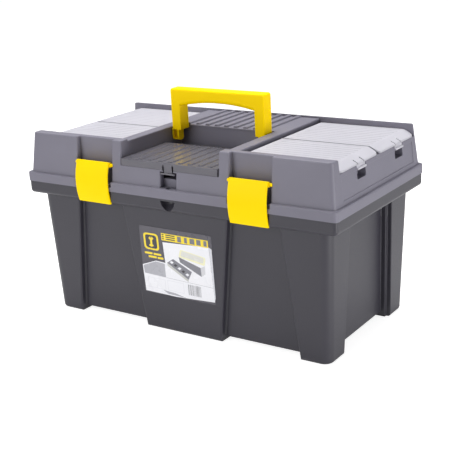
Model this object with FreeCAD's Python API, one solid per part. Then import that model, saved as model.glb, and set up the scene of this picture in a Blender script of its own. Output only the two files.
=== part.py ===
"""Toolbox with a lift-out tray: a moulded tub, a hinged lid with storage bins, and their fittings.

Millimetres. X runs along the box, the front faces -Y and +Z is up. The origin is on the floor,
under the middle of the box.
"""

import FreeCAD, Part
import math
import os

V = FreeCAD.Vector

# ---- driving dimensions -------------------------------------------------------------------
LENGTH = 580.0  # over the lid's rim band
DEPTH = 302.0  # over the lid's rim band, front to back
PARTING_Z = 230.0  # where the lid meets the tub
LID_TOP_Z = 311.0
WALL = 3.0  # moulded walls of the tub and the lid
THIN_WALL = 2.5  # walls of the bins, the tray and the covers

# ---- clearances ---------------------------------------------------------------------------
RUNNING = 0.08  # radial, between a pivot and its hole
MOVING_GAP = 0.6  # between faces that pass each other
SEAT_GAP = 0.3  # between a loose piece and what carries it

# ---- tub ----------------------------------------------------------------------------------
COLLAR_IN = 1.0  # the collar stands this far inside the lid's rim band
COLLAR_HEIGHT = 21.0
COLLAR_EDGE_R = 6.0  # rounding under the collar
BODY_IN_X = 18.5  # the body's top edge, in from the rim band
BODY_IN_Y = 12.5
BODY_TAPER = 0.036  # each wall leans in by this much per millimetre down
BODY_CORNER_R = 16.0
FOOT_HEIGHT = 8.0
FOOT_EDGE_R = 5.0
FOOT_RING = 34.0  # how far the feet reach in from the body's foot
SIDE_PANEL_DEPTH = 11.0  # sunk panels in the long walls
END_PANEL_DEPTH = 16.0  # sunk panels in the end walls
SIDE_PANEL_TOP = (101.0, 190.0)  # where a long wall's panel starts and stops, from the middle
SIDE_PANEL_FOOT = (73.0, 215.0)
END_PANEL_TOP = 66.0  # half width of an end wall's panel
END_PANEL_FOOT = 77.0
END_STEP_DEPTH = 7.5  # a shallower step runs along both sides of an end wall's panel
END_STEP_WIDTH = 5.0
END_STEP_R = 1.5
PANEL_EDGE_R = 3.0
PANEL_RUN = 5.0  # the panels are cut this far past the body before it is trimmed

# ---- lid ----------------------------------------------------------------------------------
RIM_BAND_HEIGHT = 15.5
RIM_CORNER_R = 6.0
LID_WALL_IN = 5.0  # the lid's wall starts this far inside the rim band
LID_TOP_IN_X = 11.5  # the lid's top edge, in from the rim band
LID_TOP_IN_FRONT = 12.5
LID_TOP_IN_REAR = 12.0
LID_CORNER_R = 6.0
RIM_EDGE_R = 2.5
OPENING_EDGE_R = 2.0  # edges of the recesses in the lid
DECK_NOSE_R = 1.0
END_RELIEF = (-118.0, 124.0, 252.0, 285.0)  # flat field sunk in each end wall, in Y and Z
END_RELIEF_DEPTH = 0.8
FRONT_RIM_WIDTH = 18.5
REAR_RIM_WIDTH = 6.0
STRIP_DROP = 3.0  # the strips beside the recess lie this far under the rims
RECESS_HALF = 92.0  # half width of the recess in the middle
RECESS_FLOOR_Z = 273.0
RECESS_BACK_Y = 20.5
STRIP_OUT = 112.0  # outer side of the strips beside the recess
DECK_NOSE = 2.0  # the deck overhangs the recess by this much
DECK_THICK = 3.0
DECK_RIB_HEIGHT = 3.0
DECK_RIB_WIDTH = 9.0
DECK_RIB_PITCH = 18.6
DECK_RIBS = 9

# ---- storage bins in the lid --------------------------------------------------------------
BIN_INNER_X = 121.0
BIN_OUTER_X = 263.0
BIN_FLOOR_Z = 268.0
BIN_SPLIT_Y = 5.0  # middle of the wall between the front and rear bins
BIN_SPLIT_WALL = 8.0
BIN_SILL = 4.0  # the covers rest on a sill this wide
CENTRE_BIN_HALF = 84.0
CENTRE_BIN_FLOOR_Z = 258.0
CENTRE_BIN_FRONT_Y = -134.0
CENTRE_BIN_BACK_Y = -34.0

# ---- covers -------------------------------------------------------------------------------
COVER_TOP_Z = 302.0
COVER_THICK = 2.4
COVER_BEND_X = 264.0  # where a bin cover starts to slope down
COVER_LIP_Z = 291.5  # lower edge of a bin cover's outer lip
COVER_OUT = 1.6  # a bin cover's outer lip, out from the lid's top edge
COVER_PIVOT_X = 118.0
COVER_PIVOT_Z = 299.4
COVER_PIVOT_R = 1.8
COVER_TAIL = 1.9  # a bin cover reaches this far behind its pivot
COVER_TROUGH = 4.0  # depth under the pivot of the trough that the tail turns in
COVER_RIB_PITCH = 11.0
COVER_RIB_WIDTH = 1.6
COVER_RIB_HEIGHT = 0.35
COVER_BEND_R = 12.0  # outside of the bend
COVER_EDGE_R = 3.0
COVER_CORNER_R = 8.0  # outer corners seen from above
BIN_CLIP_WIDTH = 27.0
BIN_CLIP_TAB = 20.0  # middle to middle of the slots that free the clip
BIN_CLIP_SLOT = 2.6
BIN_CLIP_LIP = 3.0  # the lip under a fingertip juts out and is this thick
CLIP_WIDTH = 15.0  # the smoked cover's clip
CLIP_SLOT = 3.0
CLIP_LIP = (26.0, 2.5, 2.0)  # width, height and reach of the lip at the clip's foot
CLIP_DROP = 7.0
FINGER_HOLE = (28.0, 15.5, 10.0)  # width, height and depth of the holes in the end walls
FINGER_HOLE_TOP_Z = 286.5
FINGER_HOLE_Y = (-55.0, 74.0)
SMOKED_TOP_Z = 284.5
SMOKED_BACK_Y = -24.0
SMOKED_PIVOT_Y = -28.0
SMOKED_PIVOT_Z = 279.5
SMOKED_PIVOT_R = 2.4
SMOKED_RIB_HEIGHT = 1.4
SMOKED_RIB_FOOT = 4.8  # half width at the foot and at the crown
SMOKED_RIB_CROWN = 2.8

# ---- handle -------------------------------------------------------------------------------
HANDLE_HALF = 91.0
HANDLE_LEG = 18.5
HANDLE_FRONT_Y = -5.5
HANDLE_DEPTH = 23.0
HANDLE_TOP_Z = 371.5
HANDLE_GRIP = 21.0  # height of the grip in the middle
HANDLE_ARCH = 8.0  # rise of the grip's underside
HANDLE_LEG_Z = 303.0  # where the legs' full section ends
HANDLE_PIVOT_Y = 1.5
HANDLE_PIVOT_Z = 294.5
HANDLE_PIVOT_R = 5.0
HANDLE_TAB = 13.0  # width of the tab that hangs below each leg
HANDLE_TAB_REACH = 7.0  # front and back of the pivot
HANDLE_TAB_FOOT_Z = 285.0
HANDLE_TAB_R = 5.0
HANDLE_TAB_WALL = 2.5
HANDLE_CORNER_R = 4.0
HANDLE_TOP_R = 3.8
HANDLE_GRIP_R = 6.0  # under the grip

# ---- latches ------------------------------------------------------------------------------
LATCH_X = 146.5
LATCH_WIDTH = 66.0
LATCH_TOP_Z = 276.0
LATCH_FOOT_Z = 208.0
LATCH_BULGE_Z = 240.0
LATCH_TOP_OUT = -3.5  # the outer face, out from the rim band: top, bulge and foot
LATCH_BULGE_OUT = 4.2
LATCH_FOOT_OUT = -1.0
LATCH_THICK = 3.0
LATCH_EDGE_R = 1.2
LATCH_PIVOT_R = 2.5
LATCH_BARREL_R = 4.2
LATCH_RECESS_GAP = 3.0
LATCH_RECESS_Y = -131.0
LATCH_RECESS_Z = 237.0
LATCH_SEAT_DEPTH = 4.8  # the collar is set back this far behind each latch

# ---- padlock eye --------------------------------------------------------------------------
WINDOW_HALF = 15.0
WINDOW_Z = (245.5, 271.0)
WINDOW_BACK_Y = -134.0
EYE_Y = -143.0
EYE_R = 4.5
EYE_FLANGE = 3.5  # the tub's flange round the eye
EYE_LEAD = 0.75  # the flange's hole is wider than the lid's by this much all round
SCOOP_R = 14.0
SCOOP_MID_R = 11.5
SCOOP_MID_Z = 219.0
SCOOP_TIP_R = 3.0
SCOOP_TIP_Z = 210.5

# ---- rear hinges --------------------------------------------------------------------------
HINGE_X = 185.0
HINGE_AXIS_OUT = 4.6  # behind the rim band
HINGE_KNUCKLE_R = 4.2
HINGE_PIN_R = 2.0
HINGE_KNUCKLE = 18.0  # length of one knuckle
HINGE_WEB = 8.0

# ---- tray ---------------------------------------------------------------------------------
TRAY_DEPTH = 62.0
TRAY_GAP = 5.0  # between the tray's body and the tub's panels
TRAY_RIM_GAP = 5.0
TRAY_CORNER_R = 14.0
TRAY_TAPER = 0.05
TRAY_CROSS_X = 84.0
GRIP_TOP_Z = 246.0
GRIP_HALF = 66.0
GRIP_WALL = 6.0
GRIP_SLOT = (46.0, 22.0)  # half length and height of the hand slot

# ---- loose dividers -----------------------------------------------------------------------
DIVIDER_THICK = 1.6
BIN_DIVIDER_X = (168.0, 216.0)
BIN_DIVIDER_TOP_Z = 296.0

# ---- label --------------------------------------------------------------------------------
LABEL_THICK = 0.3
LABEL_Z = (63.0, 177.0)
LABEL_HALF = 69.5
LABEL_GAP = 0.1

# ---- worked out ---------------------------------------------------------------------------
HALF_X = LENGTH / 2
HALF_Y = DEPTH / 2
COLLAR_X = HALF_X - COLLAR_IN
COLLAR_Y = HALF_Y - COLLAR_IN
COLLAR_Z = PARTING_Z - COLLAR_HEIGHT
LEDGE_Z = COLLAR_Z + WALL
BODY_X = HALF_X - BODY_IN_X
BODY_Y = HALF_Y - BODY_IN_Y
FLOOR_Z = FOOT_HEIGHT + WALL
BAND_TOP_Z = PARTING_Z + RIM_BAND_HEIGHT
LID_FRONT_Y = -HALF_Y + LID_TOP_IN_FRONT
LID_REAR_Y = HALF_Y - LID_TOP_IN_REAR
STRIP_Z = LID_TOP_Z - STRIP_DROP
DECK_Z = LID_TOP_Z - DECK_RIB_HEIGHT
SEAT_FRONT_Y = LID_FRONT_Y + FRONT_RIM_WIDTH
SEAT_REAR_Y = LID_REAR_Y - REAR_RIM_WIDTH
SEAT_Z = COVER_TOP_Z - COVER_THICK - SEAT_GAP
COVER_SKIN_X = HALF_X - LID_TOP_IN_X + COVER_OUT
CLIP_THICK = 2.2
TROUGH_Z = COVER_PIVOT_Z - COVER_TROUGH
HINGE_Y = HALF_Y + HINGE_AXIS_OUT
LATCH_PIVOT_Y = -HALF_Y - LATCH_TOP_OUT + LATCH_BARREL_R + 0.8
LATCH_PIVOT_Z = LATCH_TOP_Z - LATCH_BARREL_R - 0.8
TRAY_RIM_Z = LEDGE_Z + SEAT_GAP + THIN_WALL
TRAY_FLOOR_Z = TRAY_RIM_Z - TRAY_DEPTH
TRAY_X = BODY_X - END_PANEL_DEPTH - WALL - TRAY_GAP
TRAY_Y = BODY_Y - SIDE_PANEL_DEPTH - WALL - TRAY_GAP
FAR = 400.0  # past every face of the box
SIDES = (("left", -1), ("right", 1))


# ---- helpers ------------------------------------------------------------------------------
def box(x0, x1, y0, y1, z0, z1):
    low = V(min(x0, x1), min(y0, y1), min(z0, z1))
    return Part.makeBox(abs(x1 - x0), abs(y1 - y0), abs(z1 - z0), low)


def rod(radius, start, end):
    """A round rod between two points."""
    along = V(*end) - V(*start)
    return Part.makeCylinder(radius, along.Length, V(*start), along)


def round_rect(x0, x1, y0, y1, z, radius):
    """A level rectangle with rounded corners, as a wire."""
    arcs = []
    turns = (
        (x1 - radius, y1 - radius, 0),
        (x0 + radius, y1 - radius, 90),
        (x0 + radius, y0 + radius, 180),
        (x1 - radius, y0 + radius, 270),
    )
    for cx, cy, start in turns:
        points = []
        for angle in (start, start + 45, start + 90):
            turn = math.radians(angle)
            points.append(V(cx + radius * math.cos(turn), cy + radius * math.sin(turn), z))
        arcs.append(points)
    edges = []
    for i, points in enumerate(arcs):
        edges.append(Part.Arc(*points).toShape())
        edges.append(Part.LineSegment(points[2], arcs[(i + 1) % 4][0]).toShape())
    return Part.Wire(edges)


def loft(lower, upper):
    return Part.makeLoft([lower, upper], True, True)


def block(half_x, half_y, z0, z1, radius, grow=0.0):
    """A drafted block, centred on the box: grow is added to its half sizes at the top."""
    lower = round_rect(-half_x, half_x, -half_y, half_y, z0, radius)
    upper = round_rect(-half_x - grow, half_x + grow, -half_y - grow, half_y + grow, z1, radius)
    return loft(lower, upper)


def prism(points, direction):
    """A flat outline pushed along a direction."""
    corners = [V(*p) for p in points]
    return Part.Face(Part.makePolygon(corners + corners[:1])).extrude(V(*direction))


def edges_where(shape, test):
    """The edges whose middle point and direction pass a test."""
    found = []
    for edge in shape.Edges:
        middle = edge.valueAt((edge.FirstParameter + edge.LastParameter) / 2)
        ends = [v.Point for v in edge.Vertexes]
        along = (ends[-1] - ends[0]) if len(ends) > 1 else V(0, 0, 0)
        if along.Length > 0:
            along.normalize()
        if test(middle, along):
            found.append(edge)
    return found


def fillet(shape, radius, test):
    return shape.makeFillet(radius, edges_where(shape, test))


def fuse(shapes):
    whole = shapes[0]
    if len(shapes) > 1:
        whole = whole.fuse(list(shapes[1:]))
    return whole.removeSplitter()


def mirror_x(shape):
    return shape.mirror(V(0, 0, 0), V(1, 0, 0))


def mirror_y(shape):
    return shape.mirror(V(0, 0, 0), V(0, 1, 0))


def save(name, shape):
    shape.exportStep("parts/" + name + ".step")
    print(name, len(shape.Solids), round(shape.Volume), shape.isValid())


# ---- tub ----------------------------------------------------------------------------------
def body_block(in_x, in_y, z0, z1, radius):
    """The tub's drafted body between two heights, with its walls moved in."""
    def half(in_by, full, z):
        return full - in_by - BODY_TAPER * (LEDGE_Z - z)

    lower = (half(in_x, BODY_X, z0), half(in_y, BODY_Y, z0))
    upper = (half(in_x, BODY_X, z1), half(in_y, BODY_Y, z1))
    return loft(
        round_rect(-lower[0], lower[0], -lower[1], lower[1], z0, radius),
        round_rect(-upper[0], upper[0], -upper[1], upper[1], z1, radius),
    )


def panel_side(foot, top, z):
    """Where a sunk panel's sloping side is at a height."""
    return foot + (top - foot) * z / LEDGE_Z


def side_panel(wall):
    """The space in front of one sunk panel of a long wall, grown by a wall's thickness."""
    low = -2 * PANEL_RUN
    high = LEDGE_Z + 2 * PANEL_RUN
    outline = [
        (panel_side(SIDE_PANEL_FOOT[0], SIDE_PANEL_TOP[0], low) - wall, -FAR, low),
        (panel_side(SIDE_PANEL_FOOT[1], SIDE_PANEL_TOP[1], low) + wall, -FAR, low),
        (panel_side(SIDE_PANEL_FOOT[1], SIDE_PANEL_TOP[1], high) + wall, -FAR, high),
        (panel_side(SIDE_PANEL_FOOT[0], SIDE_PANEL_TOP[0], high) - wall, -FAR, high),
    ]
    space = prism(outline, (0, FAR, 0))
    return space.cut(body_block(-FAR, SIDE_PANEL_DEPTH + wall, low, high, BODY_CORNER_R))


def end_panel(wall, depth, wider):
    """The space in front of one sunk panel of an end wall, grown by a wall's thickness."""
    low = -2 * PANEL_RUN
    high = LEDGE_Z + 2 * PANEL_RUN
    half_low = panel_side(END_PANEL_FOOT, END_PANEL_TOP, low) + wall + wider
    half_high = panel_side(END_PANEL_FOOT, END_PANEL_TOP, high) + wall + wider
    outline = [(0, -half_low, low), (0, half_low, low), (0, half_high, high), (0, -half_high, high)]
    space = prism(outline, (FAR, 0, 0))
    return space.cut(body_block(depth + wall, -FAR, low, high, BODY_CORNER_R))


def all_panels(wall):
    side = side_panel(wall)
    end = end_panel(wall, END_PANEL_DEPTH, 0.0)
    step = end_panel(wall, END_STEP_DEPTH, END_STEP_WIDTH)
    sides = [side, mirror_x(side), mirror_y(side), mirror_y(mirror_x(side))]
    return sides + [end, mirror_x(end), step, mirror_x(step)]


def knuckle(x0, x1, web_z):
    """One hinge knuckle with the web that carries it, up or down from the parting plane."""
    barrel = rod(HINGE_KNUCKLE_R, (x0, HINGE_Y, PARTING_Z), (x1, HINGE_Y, PARTING_Z))
    web = box(x0, x1, HALF_Y - COLLAR_IN - WALL / 2, HINGE_Y, PARTING_Z, PARTING_Z + web_z)
    return barrel.fuse(web)


def hinge_stations():
    """Start and stop of the tub's two knuckles and the lid's one, for the right-hand hinge."""
    step = HINGE_KNUCKLE
    start = HINGE_X - 1.5 * step
    gap = MOVING_GAP / 2
    tub = [(start, start + step - gap), (start + 2 * step + gap, start + 3 * step)]
    lid = (start + step + gap, start + 2 * step - gap)
    return tub, lid


def pin_bore(radius):
    return rod(radius, (-FAR, HINGE_Y, PARTING_Z), (FAR, HINGE_Y, PARTING_Z))


def make_tub():
    rounded = body_block(0, 0, 0, LEDGE_Z, BODY_CORNER_R)
    rounded = fillet(rounded, FOOT_EDGE_R, lambda m, d: m.z < 0.1)
    outer = body_block(0, 0, -PANEL_RUN, LEDGE_Z + PANEL_RUN, BODY_CORNER_R)
    outer = outer.cut(all_panels(0))
    outer = fillet(outer, PANEL_EDGE_R, lambda m, d: abs(d.z) > 0.9 and panel_edge(m))
    outer = fillet(outer, END_STEP_R, lambda m, d: abs(d.z) > 0.9 and end_step_edge(m))
    outer = outer.common(rounded)
    foot = BODY_Y - BODY_TAPER * LEDGE_Z
    foot_x = BODY_X - BODY_TAPER * LEDGE_Z
    channels = [
        box(SIDE_PANEL_FOOT[0], SIDE_PANEL_FOOT[1], -FAR, FAR, -1, FOOT_HEIGHT),
        box(-SIDE_PANEL_FOOT[1], -SIDE_PANEL_FOOT[0], -FAR, FAR, -1, FOOT_HEIGHT),
        box(-FAR, FAR, -END_PANEL_FOOT, END_PANEL_FOOT, -1, FOOT_HEIGHT),
        block(foot_x - FOOT_RING, foot - FOOT_RING, -1, FOOT_HEIGHT, BODY_CORNER_R),
    ]
    outer = outer.cut(channels)
    collar = block(COLLAR_X, COLLAR_Y, COLLAR_Z, PARTING_Z, RIM_CORNER_R)
    collar = fillet(collar, COLLAR_EDGE_R, lambda m, d: m.z < COLLAR_Z + 0.1)
    outer = outer.fuse(collar)
    inside = body_block(WALL, WALL, FLOOR_Z, LEDGE_Z, BODY_CORNER_R - WALL)
    inside = inside.cut(all_panels(WALL))
    above = block(
        COLLAR_X - WALL, COLLAR_Y - WALL, LEDGE_Z, PARTING_Z + 1, RIM_CORNER_R - WALL
    )
    eye_boss = box(
        -SCOOP_R - WALL, SCOOP_R + WALL, -COLLAR_Y + 1, -COLLAR_Y + SCOOP_R + WALL,
        COLLAR_Z + 1, PARTING_Z,
    )
    tub = outer.cut([inside, above.cut(eye_boss)])
    scoop_top = PARTING_Z - EYE_FLANGE
    lower = Part.makeCone(
        SCOOP_TIP_R, SCOOP_MID_R, SCOOP_MID_Z - SCOOP_TIP_Z, V(0, -COLLAR_Y, SCOOP_TIP_Z)
    )
    upper = Part.makeCone(
        SCOOP_MID_R, SCOOP_R, scoop_top - SCOOP_MID_Z, V(0, -COLLAR_Y, SCOOP_MID_Z)
    )
    eye = rod(EYE_R + EYE_LEAD, (0, EYE_Y, SCOOP_MID_Z), (0, EYE_Y, PARTING_Z + 1))
    seats = []
    for _, side in SIDES:
        half = LATCH_WIDTH / 2 + LATCH_RECESS_GAP / 2
        seats.append(
            box(
                side * LATCH_X - half, side * LATCH_X + half, -FAR, -COLLAR_Y + LATCH_SEAT_DEPTH,
                COLLAR_Z - 1, PARTING_Z + 1,
            )
        )
    seat_backs = []
    for _, side in SIDES:
        half = LATCH_WIDTH / 2 + LATCH_RECESS_GAP / 2 + WALL
        seat_backs.append(
            box(
                side * LATCH_X - half, side * LATCH_X + half,
                -COLLAR_Y + 1, -COLLAR_Y + LATCH_SEAT_DEPTH + WALL,
                LEDGE_Z - 1, PARTING_Z,
            )
        )
    tub = tub.fuse(seat_backs).cut([lower, upper, eye] + seats)
    stations, _ = hinge_stations()
    knuckles = []
    for x0, x1 in stations:
        piece = knuckle(x0, x1, -HINGE_WEB)
        knuckles += [piece, mirror_x(piece)]
    tub = tub.fuse(knuckles).cut(pin_bore(HINGE_PIN_R + RUNNING))
    return tub.removeSplitter()


def panel_edge(m):
    """Whether a point lies where a sunk panel's side meets a wall of the body."""
    near = 1.0
    for foot, top in zip(SIDE_PANEL_FOOT, SIDE_PANEL_TOP):
        if abs(abs(m.x) - panel_side(foot, top, m.z)) < near:
            return True
    return False


def end_step_edge(m):
    """Whether a point lies on a side of an end wall's panel or of the step beside it."""
    near = 1.0
    beyond = abs(m.y) - panel_side(END_PANEL_FOOT, END_PANEL_TOP, m.z)
    return abs(beyond) < near or abs(beyond - END_STEP_WIDTH) < near


def make_hinge_pin(side):
    start = HINGE_X - 1.5 * HINGE_KNUCKLE
    stop = HINGE_X + 1.5 * HINGE_KNUCKLE
    return rod(HINGE_PIN_R, (side * start, HINGE_Y, PARTING_Z), (side * stop, HINGE_Y, PARTING_Z))


# ---- lid ----------------------------------------------------------------------------------
def lid_loft(inset, z0, z1, radius):
    """The lid's drafted upper body between two heights, moved in by inset."""
    span = LID_TOP_Z - BAND_TOP_Z
    wires = []
    for z in (z0, z1):
        share = (z - BAND_TOP_Z) / span
        x = HALF_X - LID_WALL_IN - (LID_TOP_IN_X - LID_WALL_IN) * share - inset
        front = -HALF_Y + LID_WALL_IN + (LID_TOP_IN_FRONT - LID_WALL_IN) * share + inset
        rear = HALF_Y - LID_WALL_IN - (LID_TOP_IN_REAR - LID_WALL_IN) * share - inset
        wires.append(round_rect(-x, x, front, rear, z, radius))
    return loft(*wires)


def bin_spans():
    """Front-to-back extent of the front and rear bins."""
    half = BIN_SPLIT_WALL / 2
    front = (SEAT_FRONT_Y + BIN_SILL, BIN_SPLIT_Y - half)
    rear = (BIN_SPLIT_Y + half, SEAT_REAR_Y - BIN_SILL)
    return (("front", front), ("rear", rear))


def latch_recess(side, wall):
    half = LATCH_WIDTH / 2 + LATCH_RECESS_GAP + wall
    return box(
        side * LATCH_X - half, side * LATCH_X + half, -FAR, LATCH_RECESS_Y + wall,
        LATCH_RECESS_Z - wall, LID_TOP_Z + 9,
    )


def cover_seat():
    """The space that one side's bin covers take, down to their seats, sloping at the outer end."""
    outer_z = COVER_LIP_Z - SEAT_GAP
    bend = COVER_BEND_X - 2.0
    outline = [
        (STRIP_OUT, SEAT_FRONT_Y, SEAT_Z),
        (bend, SEAT_FRONT_Y, SEAT_Z),
        (bend + SEAT_Z - outer_z, SEAT_FRONT_Y, outer_z),
        (FAR, SEAT_FRONT_Y, outer_z),
        (FAR, SEAT_FRONT_Y, FAR),
        (STRIP_OUT, SEAT_FRONT_Y, FAR),
    ]
    return prism(outline, (0, SEAT_REAR_Y - SEAT_FRONT_Y, 0))


def make_lid():
    band = block(HALF_X, HALF_Y, PARTING_Z, BAND_TOP_Z, RIM_CORNER_R)
    band = fillet(band, RIM_EDGE_R, lambda m, d: m.z > BAND_TOP_Z - 0.1)
    upper = lid_loft(0, BAND_TOP_Z - 1, LID_TOP_Z, LID_CORNER_R)
    upper = fillet(upper, RIM_EDGE_R, lambda m, d: m.z > LID_TOP_Z - 0.1)
    outer = band.fuse(upper)

    # What must stay inside the hollow lid: bins, recess, deck and pockets with their walls.
    keep = [
        box(-RECESS_HALF - WALL, RECESS_HALF + WALL, -FAR, RECESS_BACK_Y + WALL,
            RECESS_FLOOR_Z - WALL, FAR),
        box(-RECESS_HALF - WALL, RECESS_HALF + WALL, RECESS_BACK_Y, FAR, DECK_Z - DECK_THICK, FAR),
        box(-CENTRE_BIN_HALF - THIN_WALL, CENTRE_BIN_HALF + THIN_WALL,
            CENTRE_BIN_FRONT_Y - THIN_WALL, CENTRE_BIN_BACK_Y + THIN_WALL,
            CENTRE_BIN_FLOOR_Z - THIN_WALL, FAR),
        box(-FAR, FAR, -FAR, FAR, STRIP_Z - WALL, FAR),
        box(-WINDOW_HALF - WALL, WINDOW_HALF + WALL, -FAR, WINDOW_BACK_Y + WALL,
            PARTING_Z, WINDOW_Z[1] + WALL),
    ]
    spans = bin_spans()
    whole_bin = (spans[0][1][0] - THIN_WALL, spans[1][1][1] + THIN_WALL)
    for _, side in SIDES:
        keep.append(box(side * (BIN_INNER_X - THIN_WALL), side * FAR, whole_bin[0], whole_bin[1],
                        BIN_FLOOR_Z - THIN_WALL, FAR))
        keep.append(box(side * (STRIP_OUT - WALL), side * FAR, SEAT_FRONT_Y - WALL,
                        SEAT_REAR_Y + WALL, SEAT_Z - WALL, FAR))
        keep.append(box(side * (STRIP_OUT - WALL), side * BIN_INNER_X, SEAT_FRONT_Y - WALL,
                        SEAT_REAR_Y + WALL, TROUGH_Z - WALL, FAR))
        keep.append(box(side * BIN_OUTER_X, side * FAR, SEAT_FRONT_Y - WALL,
                        SEAT_REAR_Y + WALL, BIN_FLOOR_Z - THIN_WALL, FAR))
        keep.append(latch_recess(side, WALL))
        notch_y = RECESS_BACK_Y + WALL
        keep.append(box(side * (RECESS_HALF + WALL), side * (HANDLE_HALF - HANDLE_LEG - 2 - WALL),
                        RECESS_BACK_Y, notch_y, RECESS_FLOOR_Z - WALL, FAR))
    hollow = lid_loft(WALL, PARTING_Z - 1, LID_TOP_Z - WALL, LID_CORNER_R - WALL)
    hollow = hollow.cut(keep)

    # What is open from outside.
    open_space = [
        box(-RECESS_HALF, RECESS_HALF, -FAR, RECESS_BACK_Y, RECESS_FLOOR_Z, DECK_Z - DECK_THICK),
        box(-RECESS_HALF, RECESS_HALF, -FAR, RECESS_BACK_Y - DECK_NOSE, RECESS_FLOOR_Z, FAR),
        box(-CENTRE_BIN_HALF, CENTRE_BIN_HALF, CENTRE_BIN_FRONT_Y, CENTRE_BIN_BACK_Y,
            CENTRE_BIN_FLOOR_Z, FAR),
        box(-STRIP_OUT, STRIP_OUT, SEAT_FRONT_Y, SEAT_REAR_Y, STRIP_Z, FAR).cut(
            box(-RECESS_HALF, RECESS_HALF, -FAR, FAR, 0, FAR)),
        box(-WINDOW_HALF, WINDOW_HALF, -FAR, WINDOW_BACK_Y, WINDOW_Z[0], WINDOW_Z[1]),
        box(-CLIP_WIDTH / 2 - 2, CLIP_WIDTH / 2 + 2, -FAR, WINDOW_BACK_Y,
            WINDOW_Z[1] - 1, RECESS_FLOOR_Z + 1),
        rod(EYE_R, (0, EYE_Y, PARTING_Z - 1), (0, EYE_Y, WINDOW_Z[0] + 1)),
    ]
    for _, side in SIDES:
        seat = cover_seat()
        open_space.append(seat if side > 0 else mirror_x(seat))
        open_space.append(box(side * STRIP_OUT, side * BIN_INNER_X, SEAT_FRONT_Y, SEAT_REAR_Y,
                              TROUGH_Z, FAR))
        open_space.append(latch_recess(side, 0))
        for _, (y0, y1) in spans:
            open_space.append(
                box(side * BIN_INNER_X, side * BIN_OUTER_X, y0, y1, BIN_FLOOR_Z, FAR)
            )
        leg_in = HANDLE_HALF - HANDLE_LEG - 2
        open_space.append(box(side * leg_in, side * RECESS_HALF, 0, RECESS_BACK_Y,
                              RECESS_FLOOR_Z, FAR))
        for middle in FINGER_HOLE_Y:
            width, height, depth = FINGER_HOLE
            skin_x = HALF_X - LID_TOP_IN_X
            hole = box(side * (skin_x - depth), side * FAR, middle - width / 2, middle + width / 2,
                       FINGER_HOLE_TOP_Z - height, FINGER_HOLE_TOP_Z)
            open_space.append(fillet(hole, 3.0, lambda m, d: abs(d.x) > 0.9))
            half = BIN_CLIP_WIDTH / 2 + MOVING_GAP
            open_space.append(box(side * (COVER_SKIN_X - CLIP_THICK - MOVING_GAP), side * FAR,
                                  middle - half, middle + half,
                                  COVER_LIP_Z - CLIP_DROP - MOVING_GAP, COVER_LIP_Z + 1))
        y0, y1, z0, z1 = END_RELIEF
        field = box(side * (HALF_X - LID_TOP_IN_X - 5), side * FAR, y0, y1, z0, z1)
        open_space.append(field.cut(lid_loft(END_RELIEF_DEPTH, BAND_TOP_Z, LID_TOP_Z, LID_CORNER_R)))
    ribs = []
    for i in range(DECK_RIBS):
        x = (i - (DECK_RIBS - 1) / 2) * DECK_RIB_PITCH
        ribs.append(deck_rib(x))
    grooves = box(-RECESS_HALF - WALL, RECESS_HALF + WALL, RECESS_BACK_Y - DECK_NOSE, SEAT_REAR_Y,
                  DECK_Z, FAR)
    lid = outer.cut([hollow, grooves] + open_space)
    notches = []
    for _, side in SIDES:
        leg_in = HANDLE_HALF - HANDLE_LEG - 2
        notches.append(box(side * leg_in, side * RECESS_HALF, -FAR, RECESS_BACK_Y, 0, FAR))
    lid = lid.fuse([rib.cut(notches) for rib in ribs]).removeSplitter()
    for test in LID_EDGES:
        lid = fillet(lid, OPENING_EDGE_R, test)
    lid = fillet(lid, DECK_NOSE_R, deck_nose_edge)

    # Partition ears that the covers' pivots sit in, and the pivot holes.
    ears = []
    pivots = []
    for _, side in SIDES:
        ears.append(box(side * (STRIP_OUT - 1), side * (COVER_PIVOT_X + 3.5),
                        BIN_SPLIT_Y - 1.7, BIN_SPLIT_Y + 1.7, SEAT_Z - 2, COVER_TOP_Z))
        x = side * COVER_PIVOT_X
        pivots.append(rod(COVER_PIVOT_R + RUNNING, (x, SEAT_FRONT_Y - 2.2, COVER_PIVOT_Z),
                          (x, SEAT_REAR_Y + 2.2, COVER_PIVOT_Z)))
        pivots.append(rod(LATCH_PIVOT_R + RUNNING,
                          (side * LATCH_X - LATCH_WIDTH / 2 - LATCH_RECESS_GAP - 2.2,
                           LATCH_PIVOT_Y, LATCH_PIVOT_Z),
                          (side * LATCH_X + LATCH_WIDTH / 2 + LATCH_RECESS_GAP + 2.2,
                           LATCH_PIVOT_Y, LATCH_PIVOT_Z)))
    reach = RECESS_HALF + 2.2
    pivots.append(rod(HANDLE_PIVOT_R + RUNNING, (-reach, HANDLE_PIVOT_Y, HANDLE_PIVOT_Z),
                      (reach, HANDLE_PIVOT_Y, HANDLE_PIVOT_Z)))
    pivots.append(rod(SMOKED_PIVOT_R + RUNNING, (-reach, SMOKED_PIVOT_Y, SMOKED_PIVOT_Z),
                      (reach, SMOKED_PIVOT_Y, SMOKED_PIVOT_Z)))
    _, (x0, x1) = hinge_stations()
    piece = knuckle(x0, x1, HINGE_WEB)
    lid = lid.fuse(ears + [piece, mirror_x(piece)]).cut(pivots + [pin_bore(HINGE_PIN_R + RUNNING)])
    return lid.removeSplitter()


def near(a, b):
    return abs(a - b) < 0.3


def front_rim_edge(m, d):
    return near(m.z, LID_TOP_Z) and near(m.y, SEAT_FRONT_Y)


def strip_edge(m, d):
    beside = near(abs(m.x), RECESS_HALF) or near(abs(m.x), STRIP_OUT)
    return near(m.z, STRIP_Z) and beside and abs(d.y) > 0.9


def recess_front_edge(m, d):
    return near(abs(m.x), RECESS_HALF) and abs(d.z) > 0.8 and m.y < CENTRE_BIN_FRONT_Y


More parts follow.
